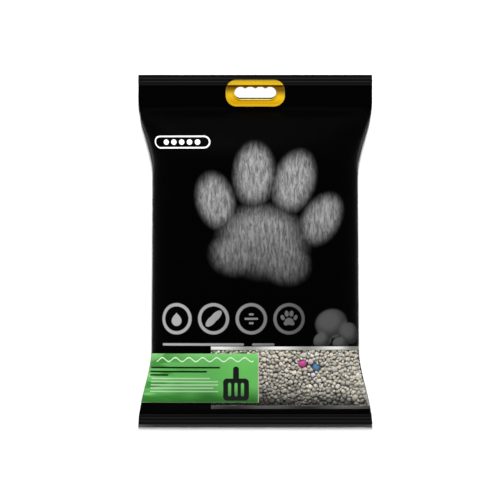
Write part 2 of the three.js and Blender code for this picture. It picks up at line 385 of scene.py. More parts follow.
# Puckers in the film
# The film can't stretch or shrink, so it buckles where the filled shape has no room for it. The cloth
# solver finds the buckles: the film's own lengths are its rest shape, and weak springs hold it to the
# filling, with the seals and the flap held fast.
pucker_frames = 18
pucker_cap = 3.2 * MM
filling_hold = 0.10
start_noise = 0.35 * MM
ruffles_per_metre = 90
film_stiffness = dict(
    quality=6,
    mass=0.05,
    tension_stiffness=60,
    compression_stiffness=60,
    shear_stiffness=25,
    bending_stiffness=0.02,
    air_damping=4,
    pin_stiffness=1.0,
)


def pucker(mesh, filled, rolled):
    work = bpy.data.objects.new("pucker_work", mesh.copy())
    scene.collection.objects.link(work)
    rest = rolled.copy()
    rest[:, 1] = np.interp(rolled[:, 1], stations, crown_path)
    ruffled = filled.copy()
    for i, (x, y, z) in enumerate(filled):
        ruffled[i, 2] += start_noise * noise.noise(Vector((x, y, z)) * ruffles_per_metre)
        ruffled[i, 0] += start_noise * noise.noise(Vector((z, x, y)) * ruffles_per_metre)
    work.data.vertices.foreach_set("co", ruffled.ravel())
    work.shape_key_add(name="Basis")
    own_lengths = work.shape_key_add(name="own_lengths")
    own_lengths.data.foreach_set("co", rest.ravel())
    held = work.vertex_groups.new(name="held")
    for i, y in enumerate(filled[:, 1]):
        fast = y > top_edge - flap_length + MM or y < bottom_edge + seal_band - MM
        held.add([i], 1.0 if fast else filling_hold, "REPLACE")
    cloth = work.modifiers.new("cloth", "CLOTH")
    for name, value in film_stiffness.items():
        setattr(cloth.settings, name, value)
    cloth.settings.effector_weights.gravity = 0
    cloth.settings.vertex_group_mass = "held"
    cloth.settings.rest_shape_key = own_lengths
    cloth.collision_settings.use_collision = False
    cloth.collision_settings.use_self_collision = False
    cloth.point_cache.frame_start = 1
    cloth.point_cache.frame_end = pucker_frames
    for step in range(1, pucker_frames + 1):
        scene.frame_set(step)
    settled = work.evaluated_get(bpy.context.evaluated_depsgraph_get())
    moved = read_points(settled.data) - filled
    scene.frame_set(1)
    bpy.data.objects.remove(work)
    length = np.linalg.norm(moved, axis=1, keepdims=True)
    capped = moved * (pucker_cap * np.tanh(length / pucker_cap) / np.maximum(length, 1e-9))
    puckered = filled + capped
    puckered[:, 2] = np.maximum(puckered[:, 2], 0)
    return puckered


surface_points = pucker(film_mesh, filled, rolled)
film_mesh.vertices.foreach_set("co", surface_points.ravel())
film_mesh.update()


def applied(mesh, kind, **settings):
    """The mesh after one modifier."""
    work = bpy.data.objects.new("modifier_work", mesh)
    scene.collection.objects.link(work)
    modifier = work.modifiers.new("step", kind)
    for name, value in settings.items():
        setattr(modifier, name, value)
    made = bpy.data.meshes.new_from_object(
        work.evaluated_get(bpy.context.evaluated_depsgraph_get())
    )
    bpy.data.objects.remove(work)
    return made


def thicken(piece, thickness, offset):
    """A surface given its thickness, in one material."""
    material = piece.data.materials[0]
    piece.data = applied(piece.data, "SOLIDIFY", thickness=thickness, offset=offset)
    piece.data.materials.clear()
    piece.data.materials.append(material)


film_surface = applied(
    film_mesh, "SUBSURF", levels=1, render_levels=1, boundary_smooth="PRESERVE_CORNERS"
)


# Film finishes
# Shared effects of printed film: the print's spots and bars, and the fine creasing of thin film.
def new_group(name, inputs, outputs):
    """A shader node group with its input and output nodes."""
    group = bpy.data.node_groups.new(name, "ShaderNodeTree")
    for socket, kind, value in inputs:
        made = group.interface.new_socket(socket, in_out="INPUT", socket_type="NodeSocket" + kind)
        made.default_value = value
    for socket, kind in outputs:
        group.interface.new_socket(socket, in_out="OUTPUT", socket_type="NodeSocket" + kind)
    return group, group.nodes.new("NodeGroupInput"), group.nodes.new("NodeGroupOutput")


def placed_vector(group, inside):
    """The print position about a motif's own centre and turned with it."""
    offset = vector_math(group, "SUBTRACT", inside.outputs["Position"], inside.outputs["Centre"])
    back = calculate(group, "MULTIPLY", inside.outputs["Turn"], -1.0)
    return add_node(
        group, "ShaderNodeVectorRotate", {"Vector": offset, "Angle": back}, rotation_type="Z_AXIS"
    ).outputs[0]


def fade(tree, value, edge):
    """1 below minus edge and 0 above edge, with a smooth passage."""
    return ramp(tree, value, calculate(tree, "MULTIPLY", edge, -1.0), edge, 1.0, 0.0)


def clouds(tree, where, scale, detail, **more):
    """Noise from 0 to 1 over the surface."""
    sockets = {"Vector": where, "Scale": scale, "Detail": detail, **more}
    return add_node(tree, "ShaderNodeTexNoise", sockets).outputs["Fac"]


def stretched(tree, where, scale, turn=0.0):
    """A position turned about Z and scaled, so that a noise on it runs long one way."""
    sockets = {"Vector": where, "Rotation": (0, 0, turn), "Scale": scale}
    return add_node(tree, "ShaderNodeMapping", sockets).outputs["Vector"]


def swell(tree, value, crest, length):
    """A smooth wave from 0 to 1 along a value, with its crests a length apart."""
    steps = calculate(tree, "SUBTRACT", value, crest)
    turns = calculate(tree, "MULTIPLY", steps, math.tau / length)
    return calculate(tree, "MULTIPLY_ADD", calculate(tree, "COSINE", turns), 0.5, 0.5)


def paint(tree, colour):
    return add_node(
        tree, "ShaderNodeCombineColor", dict(zip(("Red", "Green", "Blue"), colour))
    ).outputs["Color"]


def over(tree, below, mask, colour):
    """One ink over what lies below it."""
    made = add_node(tree, "ShaderNodeMix", data_type="RGBA")
    colours = [socket for socket in made.inputs if socket.type == "RGBA"]
    tree.links.new(mask, made.inputs["Factor"])
    tree.links.new(below, colours[0])
    if isinstance(colour, bpy.types.NodeSocket):
        tree.links.new(colour, colours[1])
    else:
        colours[1].default_value = (*colour, 1)
    return next(socket for socket in made.outputs if socket.type == "RGBA")


motif_inputs = [
    ("Position", "Vector", (0, 0, 0)),
    ("Centre", "Vector", (0, 0, 0)),
    ("Size", "Vector", (1, 1, 1)),
    ("Turn", "Float", 0.0),
    ("Edge", "Float", 0.1),
]
spot_group, inside, outside = new_group("printed_spot", motif_inputs, [("Mask", "Float")])
scaled = vector_math(
    spot_group, "DIVIDE", placed_vector(spot_group, inside), inside.outputs["Size"]
)
beyond = calculate(spot_group, "SUBTRACT", vector_math(spot_group, "LENGTH", scaled), 1.0)
spot_group.links.new(fade(spot_group, beyond, inside.outputs["Edge"]), outside.inputs["Mask"])

bar_inputs = motif_inputs + [("Corner", "Float", 1.0)]
bar_group, inside, outside = new_group("printed_bar", bar_inputs, [("Mask", "Float")])
corner = inside.outputs["Corner"]
corner_reach = add_node(bar_group, "ShaderNodeCombineXYZ", {"X": corner, "Y": corner}).outputs[0]
folded = vector_math(bar_group, "ABSOLUTE", placed_vector(bar_group, inside))
past_size = vector_math(bar_group, "SUBTRACT", folded, inside.outputs["Size"])
past_corner = vector_math(bar_group, "ADD", past_size, corner_reach)
outer = vector_math(bar_group, "MAXIMUM", past_corner, (0, 0, 0))
beyond = calculate(bar_group, "SUBTRACT", vector_math(bar_group, "LENGTH", outer), corner)
bar_group.links.new(fade(bar_group, beyond, inside.outputs["Edge"]), outside.inputs["Mask"])

crease_group, inside, outside = new_group(
    "film_creases", [("Scale", "Float", 1.0), ("Sharpness", "Float", 0.5)], [("Height", "Float")]
)
where = crease_group.nodes.new("ShaderNodeTexCoord").outputs["Object"]
wave_scale = calculate(crease_group, "MULTIPLY", inside.outputs["Scale"], 38.0)
waves = clouds(crease_group, where, wave_scale, 2.0)
ridge_scale = calculate(crease_group, "MULTIPLY", inside.outputs["Scale"], 17.0)
ridges = clouds(crease_group, where, ridge_scale, 3.0, Distortion=0.8)
ridge = calculate(crease_group, "ABSOLUTE", calculate(crease_group, "SUBTRACT", ridges, 0.5))
sharp = calculate(crease_group, "MULTIPLY", ridge, inside.outputs["Sharpness"])
crease_group.links.new(
    calculate(crease_group, "SUBTRACT", waves, sharp), outside.inputs["Height"]
)


def creases(tree, scale, sharpness):
    """The height of the fine creases."""
    sockets = {"Scale": scale, "Sharpness": sharpness}
    return add_node(tree, "ShaderNodeGroup", sockets, node_tree=crease_group).outputs["Height"]


def lay_finish(tree, output, height, strength, depth, **sockets):
    """The shader itself, with the height as its bump."""
    relief = add_node(
        tree, "ShaderNodeBump", {"Height": height, "Strength": strength, "Distance": depth}
    )
    surface = add_node(
        tree, "ShaderNodeBsdfPrincipled", {**sockets, "Normal": relief.outputs["Normal"]}
    )
    tree.links.new(surface.outputs["BSDF"], output.inputs["Surface"])


class Print:
    """Motifs printed on a film, in millimetres from the middle of the bag's front."""

    def __init__(self, tree):
        self.tree = tree
        flat = add_node(tree, "ShaderNodeUVMap", uv_map="flat_film")
        self.position = vector_math(tree, "MULTIPLY", flat.outputs["UV"], (1 / MM, 1 / MM, 1))
        parts = add_node(tree, "ShaderNodeSeparateXYZ", {"Vector": self.position})
        self.across, self.along = parts.outputs["X"], parts.outputs["Y"]

    def motif(self, group, centre, size, turn=0.0, edge=0.1, **more):
        inputs = {
            "Position": self.position,
            "Centre": (*centre, 0),
            "Size": (*size, 1),
            "Turn": math.radians(turn),
            "Edge": edge,
            **more,
        }
        made = add_node(self.tree, "ShaderNodeGroup", node_tree=group)
        for socket, value in inputs.items():
            if isinstance(value, bpy.types.NodeSocket):
                self.tree.links.new(value, made.inputs[socket])
            else:
                made.inputs[socket].default_value = value
        return made.outputs["Mask"]

    def spot(self, centre, size, turn=0.0, edge=0.06):
        return self.motif(spot_group, centre, size, turn, edge)

    def bar(self, centre, size, corner, turn=0.0, edge=0.25):
        return self.motif(bar_group, centre, size, turn, edge, Corner=corner)

    def any_of(self, masks):
        total = masks[0]
        for mask in masks[1:]:
            total = calculate(self.tree, "MAXIMUM", total, mask)
        return total

    def less(self, mask, hole):
        return calculate(self.tree, "SUBTRACT", mask, hole, clamp=True)


def paw(ink, centre, size, turn, edge):
    """A paw mark of four toes over a three-lobed pad."""
    lobes = [
        ((0, -0.16), (0.27, 0.22), 0),
        ((-0.17, -0.27), (0.17, 0.14), 20),
        ((0.17, -0.27), (0.17, 0.14), -20),
        ((-0.40, 0.08), (0.115, 0.17), 24),
        ((-0.15, 0.32), (0.125, 0.19), 8),
        ((0.15, 0.32), (0.125, 0.19), -8),
        ((0.40, 0.08), (0.115, 0.17), -24),
    ]
    swing = Matrix.Rotation(math.radians(turn), 2)
    marks = []
    for offset, reach, lean in lobes:
        place = Vector(centre) + swing @ (Vector(offset) * size)
        radii = (reach[0] * size, reach[1] * size)
        marks.append(ink.spot(place, radii, turn + lean, edge))
    return ink.any_of(marks)


# The black film bag
# Polyethylene film printed black over its whole outside, with the print in greys. The jaws crimp a
# band across each end, and the web's two edges are lap welded down the back.
black_film, tree, output = new_material("black_film")
ink = Print(tree)
ground_colour = (0.0006, 0.0006, 0.0007)
grey_ink = 0.36

# A large paw mark, brushed like fur
paw_middle, paw_width, paw_lean = (14, 36), 168, -10
fur = clouds(
    tree, stretched(tree, ink.position, (0.30, 0.075, 1), 0.5), 1.0, 5.0, Roughness=0.7, Distortion=0.6
)
brush = ramp(tree, fur, 0.30, 0.72, 0.25, 1.0)
big_paw = paw(ink, paw_middle, paw_width, paw_lean, 0.42)
lit_side = ramp(tree, ink.along, -60, 75, 0.25, 1.0)
paw_tone = calculate(tree, "MULTIPLY", calculate(tree, "MULTIPLY", big_paw, brush), lit_side)

# Four ring badges in a row: a drop, a granule, level lines and a small paw, with bars under them
badge_row = -86
badge_reach, badge_bore = 19.5, 15.5
badge_start, badge_pitch = -99, 47
badge_places = [badge_start + badge_pitch * i for i in range(4)]
drop_x, granule_x, lines_x, small_paw_x = badge_places
line_step = 5.5
badges = [
    ink.less(
        ink.spot((x, badge_row), (badge_reach, badge_reach), edge=0.03),
        ink.spot((x, badge_row), (badge_bore, badge_bore), edge=0.035),
    )
    for x in badge_places
]
badges += [
    ink.spot((drop_x, badge_row - 2.5), (6.5, 6.5), edge=0.06),
    ink.bar((drop_x, badge_row + 2.5), (3.4, 3.4), 0.4, turn=45),
    ink.spot((granule_x - 2.4, badge_row - 2.4), (9.5, 4.6), 45, edge=0.06),
    ink.spot((granule_x + 2.8, badge_row + 2.8), (9.5, 4.6), 45, edge=0.06),
    ink.bar((lines_x, badge_row), (8.5, 1.3), 1.3),
    ink.bar((lines_x, badge_row - line_step), (8.5 - line_step, 1.3), 1.3),
    ink.bar((lines_x, badge_row + line_step), (8.5 - line_step, 1.3), 1.3),
    paw(ink, (small_paw_x, badge_row), 20, 0, 0.08),
]
underline_row = badge_row - 32
underline = [
    ink.bar((-66, underline_row), (52, 1.5), 1.5),
    ink.bar((10, underline_row), (14, 1.5), 1.5),
]
right_fade = ramp(tree, ink.across, -130, 90, 1.0, 0.16)
row_tone = calculate(tree, "MULTIPLY", ink.any_of(badges + underline), right_fade)

# A heap of pebbles at the right: each one's middle, reaches and turn

pebbles = [
    ((96, -92), (21, 18), 12),
    ((121, -104), (15, 13), -20),
    ((84, -113), (12, 10), 30),
    ((108, -117), (11, 8.5), 0),
]
light_shift, light_share = 4, 0.8
pebble_mask = ink.any_of([ink.spot(middle, reach, turn, 0.10) for middle, reach, turn in pebbles])
pebble_light = ink.any_of([
    ink.spot((x - light_shift, y + light_shift), (a * light_share, b * light_share), turn, 0.55)
    for (x, y), (a, b), turn in pebbles
])
pebble_shade = calculate(tree, "MULTIPLY_ADD", pebble_light, 0.14, 0.05)
pebble_tone = calculate(tree, "MULTIPLY", pebble_mask, pebble_shade)

strongest = ink.any_of([paw_tone, row_tone, pebble_tone])
front_only = ramp(tree, calculate(tree, "ABSOLUTE", ink.across), 136, 139, 1.0, 0.0)
tone = calculate(tree, "MULTIPLY", calculate(tree, "MULTIPLY", strongest, grey_ink), front_only)
printed = over(tree, paint(tree, ground_colour), tone, (0.96, 0.96, 0.97))

# A white outlined pill with five dots at the top left
pill_x, pill_y = -92, 134
pill_reach, pill_line = (36, 8), 1.8
pill_bore = (pill_reach[0] - pill_line, pill_reach[1] - pill_line)
dot_pitch, dot_radius = 10, 3.4
pill = ink.less(
    ink.bar((pill_x, pill_y), pill_reach, pill_reach[1]),
    ink.bar((pill_x, pill_y), pill_bore, pill_bore[1]),
)
dots = [ink.spot((pill_x + dot_pitch * i, pill_y), (dot_radius, dot_radius)) for i in range(-2, 3)]
printed = over(tree, printed, ink.any_of([pill, *dots]), (0.86, 0.86, 0.86))

# The crimped bands are duller, with a painted grey sheen and a painted highlight line along each rib
band_mm = seal_band / MM
from_edge = calculate(
    tree, "SUBTRACT", bag_length / 2 / MM, calculate(tree, "ABSOLUTE", ink.along)
)
seal_mask = ramp(tree, from_edge, band_mm - 0.4, band_mm + 0.4, 1.0, 0.0)
rib_phase = calculate(tree, "MULTIPLY", from_edge, math.tau * seal_ribs / band_mm)
rib_highlight = ramp(tree, calculate(tree, "COSINE", rib_phase), -0.2, 1.0)
band_sheen_colour = over(tree, paint(tree, (0.0040, 0.0040, 0.0042)), rib_highlight, (0.0122, 0.0122, 0.0126))
printed = over(tree, printed, seal_mask, band_sheen_colour)

# The lap weld down the back, the fine creases, and granules that show through where the bag is full
lap_width = 5
lap_depth = 0.5
from_lap = calculate(
    tree, "SUBTRACT", flat_width / MM - lap_width, calculate(tree, "ABSOLUTE", ink.across)
)
lap_line = ramp(tree, calculate(tree, "ABSOLUTE", from_lap), 0.0, 0.7, 1.0, 0.0)
fine_creases = creases(tree, 1.0, 0.8)
pressed = add_node(
    tree,
    "ShaderNodeTexVoronoi",
    {"Vector": ink.position, "Scale": 0.2, "Randomness": 1.0},
    feature="SMOOTH_F1",
)
filled_part = ramp(tree, from_edge, band_mm + 2, band_mm + 34, 0.0, 0.16)
height = calculate(tree, "MULTIPLY_ADD", pressed.outputs["Distance"], filled_part, fine_creases)
height = calculate(tree, "MULTIPLY_ADD", lap_line, lap_depth, height)
creased_sheen = ramp(tree, fine_creases, 0.2, 0.8, 0.36, 0.46)
lay_finish(
    tree,
    output,
    height,
    0.35,
    1.2 * MM,
    **{
        "Base Color": printed,
        "Roughness": calculate(tree, "MULTIPLY_ADD", seal_mask, 0.12, creased_sheen),
        "IOR": 1.12,
        "Specular IOR Level": 0.12,
    },
)

window_low = bottom_edge + 19.7 * MM
window_high = bottom_edge + 98 * MM
window_left = -55.3 * MM
hair = 1e-6


def widest_line(y):
    return underside(y) + equator_share * filled_height(y)


def side_cut(low, high, drop):
    """A plane along the side of the bag, at or below its widest line between two stations."""
    start = Vector((0, low, widest_line(low) - drop))
    slope = Vector((0, high - low, widest_line(high) - widest_line(low)))
    return start, Vector((0, -slope.z, slope.y)).normalized()


def patch_planes(low, high, drop, left=None, right=None):
    """The planes round a patch of the front, each as a point and a normal that looks inwards."""
    planes = [
        (Vector((0, low, 0)), Vector((0, 1, 0))),
        (Vector((0, high, 0)), Vector((0, -1, 0))),
        side_cut(low, high, drop),
    ]
    if left is not None:
        planes.append((Vector((left, 0, 0)), Vector((1, 0, 0))))
    if right is not None:
        planes.append((Vector((right, 0, 0)), Vector((-1, 0, 0))))
    return planes


def patch(mesh, planes):
    """The part of a surface inside the planes."""
    made = bmesh.new()
    made.from_mesh(mesh)
    for point, inwards in planes:
        bmesh.ops.bisect_plane(
            made,
            geom=made.verts[:] + made.edges[:] + made.faces[:],
            dist=hair,
            plane_co=point,
            plane_no=inwards,
            clear_inner=True,
        )
    return made


def with_edges(faces):
    """Some faces together with their edges and points."""
    parts = set(faces)
    for face in faces:
        parts.update(face.verts)
        parts.update(face.edges)
    return list(parts)


def without_patch(mesh, planes, reach):
    """A surface with a patch cut out of it along the planes."""
    made = bmesh.new()
    made.from_mesh(mesh)

    def inside_all(face, slack):
        middle = face.calc_center_median()
        return all((middle - point).dot(inwards) > -slack for point, inwards in planes)

    for point, inwards in planes:
        near = [face for face in made.faces if inside_all(face, reach)]
        bmesh.ops.bisect_plane(
            made, geom=with_edges(near), dist=hair, plane_co=point, plane_no=inwards
        )
    gone = [face for face in made.faces if inside_all(face, 0)]
    bmesh.ops.delete(made, geom=gone, context="FACES")
    return made


window_planes = patch_planes(window_low, window_high, 0, left=window_left)
bag_mesh = without_patch(film_surface, window_planes, reach=8 * MM)
bag = new_object("film_bag", bag_mesh, black_film)
thicken(bag, 0.9 * film_thickness, offset=-1)


# The finger slot, cut through the flap
# The slot is punched through both layers of film, a little larger than the handle's own slot.
handle_low, handle_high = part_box("handle_front")
handle_width = handle_high.x - handle_low.x
handle_height = handle_high.y - handle_low.y
handle_y = (handle_low.y + handle_high.y) / 2
ring_at_ends = 10.85 * MM
slot_width = handle_width - 2 * ring_at_ends
slot_height = 15 * MM
slot_rise = 0.3 * MM
finger_pitch = 12.6 * MM
bump_depth = 1.9 * MM
bump_width = 2.4 * MM
handle_corner = 13.6 * MM
film_slot_margin = 0.8 * MM
film_slot_shift = 2.3 * MM
quadrant_steps = 26


def rounded_loop(mesh, width, high, corner, centre_y, z, bumps=False):
    """A ring of edges along a rounded rectangle, with as many points in each quarter."""
    half_x, half_y = width / 2, high / 2
    straight_x, straight_y = half_x - corner, half_y - corner
    arc = corner * math.pi / 2
    right_top = []
    for at in np.linspace(0, straight_x + arc + straight_y, quadrant_steps + 1):
        if at < straight_x:
            right_top.append((at, half_y))
        elif at < straight_x + arc:
            turn = (at - straight_x) / corner
            right_top.append(
                (straight_x + corner * math.sin(turn), straight_y + corner * math.cos(turn))
            )
        else:
            right_top.append((half_x, straight_x + arc + straight_y - at))
    right_bottom = [(x, -y) for x, y in reversed(right_top)]
    left_bottom = [(-x, -y) for x, y in right_top]
    left_top = [(-x, y) for x, y in reversed(right_top)]
    loop = right_top[:-1] + right_bottom[:-1] + left_bottom[:-1] + left_top[:-1]
    made = []
    for x, y in loop:
        if bumps and y > 0:
            steps = [(x - bump * finger_pitch) / bump_width for bump in (-1, 0, 1)]
            y -= bump_depth * sum(math.exp(-(step**2)) for step in steps)
        made.append(mesh.verts.new((x, y + centre_y, z)))
    return [mesh.edges.new(pair) for pair in zip(made, made[1:] + made[:1])]


def slot_loop(mesh, grow, z, centre_y=handle_y + slot_rise):
    high = slot_height + 2 * grow
    return rounded_loop(mesh, slot_width + 2 * grow, high, high / 2, centre_y, z, bumps=True)


def plate_loop(mesh, inset, z):
    return rounded_loop(
        mesh,
        handle_width - 2 * inset,
        handle_height - 2 * inset,
        handle_corner - inset,
        handle_y,
        z,
    )


def raise_faces(mesh, faces, lift):
    """Faces extruded straight up; gives back the raised ones."""
    grown = bmesh.ops.extrude_face_region(mesh, geom=faces)["geom"]
    points = [part for part in grown if isinstance(part, bmesh.types.BMVert)]
    bmesh.ops.translate(mesh, vec=(0, 0, lift), verts=points)
    return [part for part in grown if isinstance(part, bmesh.types.BMFace)]


cutter_mesh = bmesh.new()
slot_edge = slot_loop(cutter_mesh, film_slot_margin, 0, handle_y + slot_rise + film_slot_shift)
bmesh.ops.contextual_create(cutter_mesh, geom=slot_edge)
raise_faces(cutter_mesh, cutter_mesh.faces[:], 2 * seal_height)
bmesh.ops.recalc_face_normals(cutter_mesh, faces=cutter_mesh.faces[:])
cutter = new_object("slot_cutter", cutter_mesh, black_film)
punched = applied(bag.data, "BOOLEAN", operation="DIFFERENCE", solver="EXACT", object=cutter)
bpy.data.objects.remove(cutter)
bag.data = punched
bag.data.polygons.foreach_set("use_smooth", [True] * len(bag.data.polygons))
bag.data.set_sharp_from_angle(angle=math.radians(40))
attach(bag, "root")
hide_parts("bag_film")


# The clear window
# The same film left unprinted, so that the granules show. A painted highlight edges it along the
# top, painted shade darkens the slack strip of film along its foot, and painted shade lies along the
# fold at its right edge.
clear_film, tree, output = new_material("clear_film")
ink = Print(tree)
low_mm, high_mm = window_low / MM, window_high / MM
# Painted highlight along the top, painted shade along the foot and down the fold at the right
top_highlight_band = ramp(tree, ink.along, high_mm - 4.6, high_mm - 3.4)
foot_shade_band = ramp(tree, ink.along, low_mm + 3.4, low_mm + 4.6, 1.0, 0.0)
fold_shade_band = ramp(tree, ink.across, 139.5, 143.5, 0.0, 0.6)
bands = ink.any_of([top_highlight_band, foot_shade_band, fold_shade_band])
film_colour = over(tree, paint(tree, (0.8, 0.8, 0.78)), fold_shade_band, (0.22, 0.22, 0.21))
shaded_strip_colour = over(
    tree, paint(tree, (0.032, 0.031, 0.027)), swell(tree, ink.across, 18, 92), (0.180, 0.177, 0.166)
)
film_colour = over(tree, film_colour, foot_shade_band, shaded_strip_colour)
# The painted highlight is brightest at the left and greys towards the right end
highlight_strip_colour = over(
    tree, paint(tree, (0.27, 0.27, 0.25)), swell(tree, ink.across, 28, 74), (0.68, 0.68, 0.64)
)
highlight_strip_colour = over(tree, highlight_strip_colour, ramp(tree, ink.across, 104, 126), (0.22, 0.22, 0.21))
film_colour = over(tree, film_colour, top_highlight_band, highlight_strip_colour)
clear_alpha, band_alpha = 0.03, 0.96
lay_finish(
    tree,
    output,
    creases(tree, 1.0, 1.2),
    0.5,
    1.5 * MM,
    **{
        "Base Color": film_colour,
        "Roughness": 0.16,
        "Specular IOR Level": 0.07,
        "Alpha": calculate(tree, "MULTIPLY_ADD", bands, band_alpha - clear_alpha, clear_alpha),
    },
)

window = new_object("window", patch(film_surface, window_planes), clear_film)
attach(window, "root")
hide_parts("window_film")


# The litter
# Dried bentonite clay in rounded granules of 3 to 10 mm, a few of them coloured. One heaped body fills
# the bag, and behind the window it is built up of single granules.
litter_clay, tree, output = new_material("litter_clay")
colour = add_node(tree, "ShaderNodeAttribute", attribute_name="granule_colour").outputs["Color"]
where = tree.nodes.new("ShaderNodeTexCoord").outputs["Object"]
grain = clouds(tree, where, 420.0, 4.0, Roughness=0.65)
shade = add_node(
    tree,
    "ShaderNodeMapRange",
    {"Value": grain, "From Min": 0.3, "From Max": 0.75, "To Min": 0.72},
).outputs["Result"]
# Painted shade darkens the granules towards the foot of the window, along a wandering line
parts = add_node(tree, "ShaderNodeSeparateXYZ", {"Vector": where})
drift = clouds(tree, where, 34.0, 1.0)
drifted = calculate(tree, "MULTIPLY_ADD", drift, -36 * MM, parts.outputs["Y"])
leaning = calculate(tree, "MULTIPLY_ADD", parts.outputs["X"], 0.08, drifted)
foot_shade = ramp(tree, leaning, window_low - 14 * MM, window_low + 22 * MM, 0.08, 1.0)
speckled_and_shaded = vector_math(tree, "MULTIPLY", colour, calculate(tree, "MULTIPLY", shade, foot_shade))
lay_finish(
    tree,
    output,
    grain,
    0.8,
    0.6 * MM,
    **{"Base Color": speckled_and_shaded, "Roughness": 0.95, "Specular IOR Level": 0.2},
)

litter_low, litter_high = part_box("litter")
core_steps = 70
core_ring = 72
core_gap = 0.8 * MM
bed_depth = 5 * MM
bed_shade = 0.16
lump_height = 0.9 * MM
lumps_per_metre = 160
clay_colour = Vector((0.61, 0.575, 0.495))
random = np.random.default_rng(5)

core_rows = np.linspace(litter_low.y + core_gap, litter_high.y - core_gap, core_steps + 1)
core = roll_tube(core_rows, core_ring)
bmesh.ops.holes_fill(core, edges=core.edges[:], sides=0)
bmesh.ops.recalc_face_normals(core, faces=core.faces[:])
core_rolled = np.array([vertex.co for vertex in core.verts])
for vertex, place in zip(core.verts, filled_points(core_rolled, film_thickness + core_gap)):
    vertex.co = place
core.normal_update()
colour_layer = core.verts.layers.float_color.new("granule_colour")
bed_planes = patch_planes(window_low - bed_depth, window_high + bed_depth, bed_depth, window_left)
for vertex in core.verts:
    depth = min((vertex.co - point).dot(inwards) for point, inwards in bed_planes)
    lump = lump_height * noise.noise(vertex.co * lumps_per_metre)
    vertex.co -= vertex.normal * (bed_depth * float(smooth_step(depth / bed_depth)) + abs(lump))
    vertex[colour_layer] = (*(clay_colour * bed_shade), 1)

# Granules are dropped in at random from the largest to the smallest, each clear of the ones before
window_faces = [
    (face.center.copy(), face.normal.copy(), face.area)
    for face in window.data.polygons
    if face.area > 0
]
shares = np.array([area for _, _, area in window_faces])
shares /= shares.sum()
sizes = np.concatenate([
    np.linspace(5.2, 4.0, 80),
    np.linspace(4.0, 2.7, 500),
    np.linspace(2.7, 1.6, 1150),
]) * MM
heap = []
grid = {}
cell = 9 * MM
granule_roughness = 0.42
tries = 14
foot_reach = 26 * MM


def cell_of(place):
    return tuple(math.floor(distance / cell) for distance in place)


def clear_of_others(place, radius, closest):
    at = cell_of(place)
    for step in itertools.product((-1, 0, 1), repeat=3):
        for other, reach in grid.get(tuple(map(sum, zip(at, step))), ()):
            if (other - place).length < closest * (radius + reach):
                return False
    return True


def put(place, radius, tint, roughness, room=1.0):
    grid.setdefault(cell_of(place), []).append((place, radius * room))
    heap.append((place, radius, tint, roughness))


# Each coloured granule's place and radius in millimetres, and its colour
coloured_granules = [
    ((59.4, -144.4), 5.6, (0.62, 0.055, 0.30)),
    ((76.4, -148.7), 5.0, (0.07, 0.20, 0.36)),
    ((69.4, -141.3), 4.3, (0.60, 0.50, 0.50)),
    ((72.3, -157.8), 3.2, (0.64, 0.64, 0.74)),
]
coloured_roughness = 0.12
coloured_room = 1.25


def surface_tree(mesh):
    """A mesh's faces, to find the one below or nearest to a point."""
    points = [vertex.co for vertex in mesh.vertices]
    return BVHTree.FromPolygons(points, [face.vertices for face in mesh.polygons])


above = surface_tree(window.data)
for (x, y), radius, tint in coloured_granules:
    hit, normal, _, _ = above.ray_cast(Vector((x * MM, y * MM, 1)), Vector((0, 0, -1)))
    radius *= MM
    place = hit - normal * (radius + film_thickness)
    put(place, radius, Vector(tint), coloured_roughness, coloured_room)


def clay_tint():
    warmth = random.normal() * 0.014
    tone = float(np.clip(random.normal(1.0, 0.16), 0.55, 1.3))
    return Vector((clay_colour.x + warmth, clay_colour.y, clay_colour.z - warmth)) * tone


for radius in sizes:
    for _ in range(tries):
        centre, normal, _ = window_faces[random.choice(len(window_faces), p=shares)]
        sideways = Vector(random.normal(size=3) * 2 * MM)
        near_foot = float(smooth_step((window_low + foot_reach - centre.y) / foot_reach))
        sunk = random.random() ** 2
        deeper = radius * 1.04 + film_thickness + sunk * mix(2.6, 6.0, near_foot) * MM
        place = centre + sideways - normal * (deeper + sideways.dot(normal))
        if clear_of_others(place, radius, mix(0.78, 0.90, near_foot)):
            shadow = sunk * mix(0.35, 0.85, near_foot)
            put(place, radius, clay_tint() * (1 - shadow), granule_roughness)
            break


ball = bmesh.new()
bmesh.ops.create_uvsphere(ball, u_segments=8, v_segments=6, radius=1)
ball_points = np.array([vertex.co for vertex in ball.verts])
ball_faces = [[vertex.index for vertex in face.verts] for face in ball.faces]
ball.free()


def granule_points(place, radius, roughness):
    """One rough granule: the coarse ball pressed out of round and turned at random."""
    seed = Vector(random.random(3) * 40)
    rough = [1 + roughness * noise.noise(Vector(point) * 1.5 + seed) for point in ball_points]
    press = 1 - roughness * np.array([-0.14, random.uniform(0, 0.55), random.uniform(0.2, 0.7)])
    turn = Matrix.Rotation(random.random() * math.tau, 3, Vector(random.normal(size=3)))
    shaped = ball_points * np.array(rough)[:, None] * press * radius
    return shaped @ np.array(turn).T + np.array(place)


heap_points = np.concatenate([
    granule_points(place, radius, roughness) for place, radius, _, roughness in heap
])

# What would stick out of the bag is pressed back against the inside of the film
inside_film = surface_tree(film_surface)
granule_gap = 0.5 * MM
for i, point in enumerate(heap_points):
    hit, normal, _, _ = inside_film.find_nearest(Vector(point))
    depth = (hit - Vector(point)).dot(normal)
    if depth < granule_gap:
        heap_points[i] = hit - normal * granule_gap
heap_faces = [
    [index + len(ball_points) * i for index in face] for i in range(len(heap)) for face in ball_faces
]
heap_mesh = bpy.data.meshes.new("granule_heap")
heap_mesh.from_pydata(heap_points, [], heap_faces)
heap_colour = heap_mesh.attributes.new("granule_colour", "FLOAT_COLOR", "POINT")
heap_tints = np.repeat([(*tint, 1) for _, _, tint, _ in heap], len(ball_points), axis=0)
heap_colour.data.foreach_set("color", heap_tints.ravel())
core.from_mesh(heap_mesh)
bpy.data.meshes.remove(heap_mesh)

litter = new_object("litter_fill", core, litter_clay)
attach(litter, "root")
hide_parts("litter")


